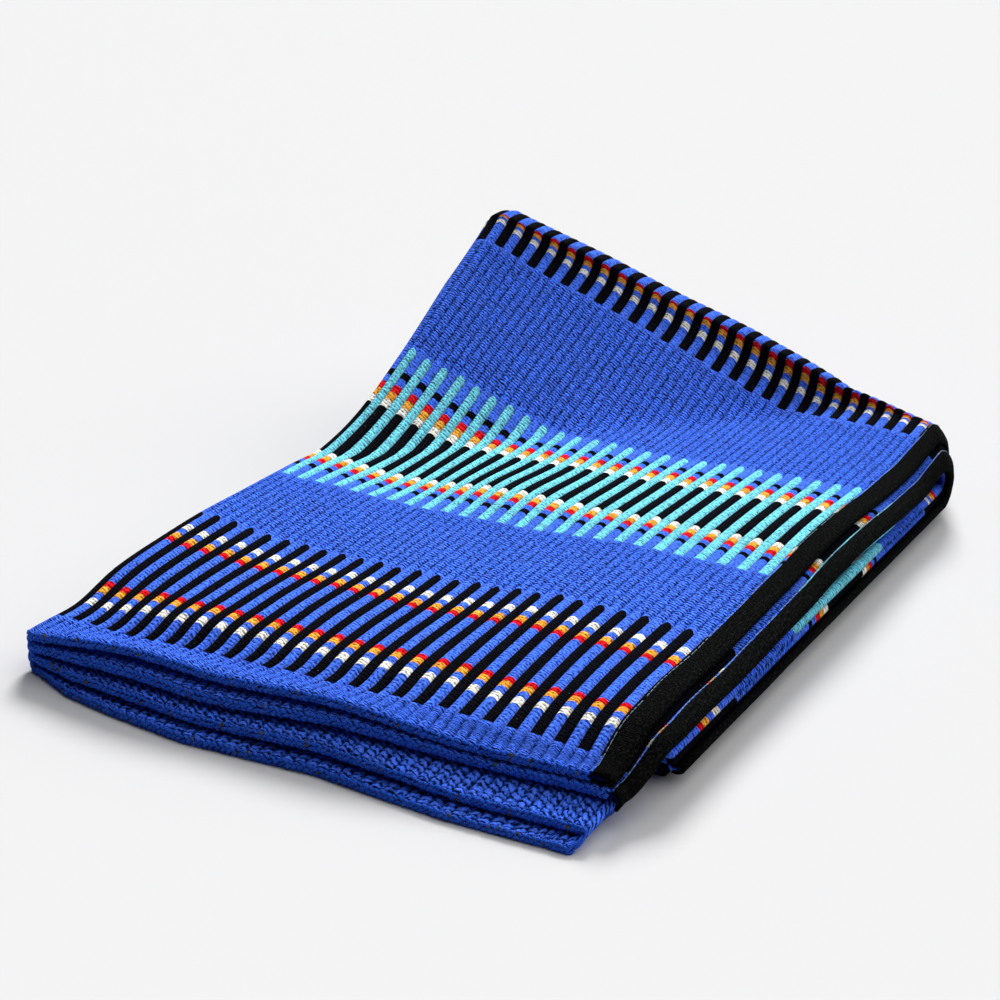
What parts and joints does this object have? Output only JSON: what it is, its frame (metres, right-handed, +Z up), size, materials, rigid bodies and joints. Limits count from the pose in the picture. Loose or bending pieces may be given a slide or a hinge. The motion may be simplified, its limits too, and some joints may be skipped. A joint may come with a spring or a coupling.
{
  "type": "folded ribbed cotton blanket",
  "caption": "Folded blanket of ribbed blue cotton with black and light-blue bands, small spots and black bound ends, for lying on a bed, shelf or floor",
  "frame": {"origin": "centre of the bounding box on the floor", "axes": "+X across the ribs to the black bound edge, +Y along the ribs to the back fold, +Z up"},
  "size_m": [0.3446, 0.5342, 0.1403],
  "materials": {
    "cloth": "matt ribbed cotton",
    "binding": "matt black cotton tape"
  },
  "bodies": {
    "root": {"cloth": "cloth", "binding_top": "binding", "binding_under": "binding"}
  },
  "joints": []
}
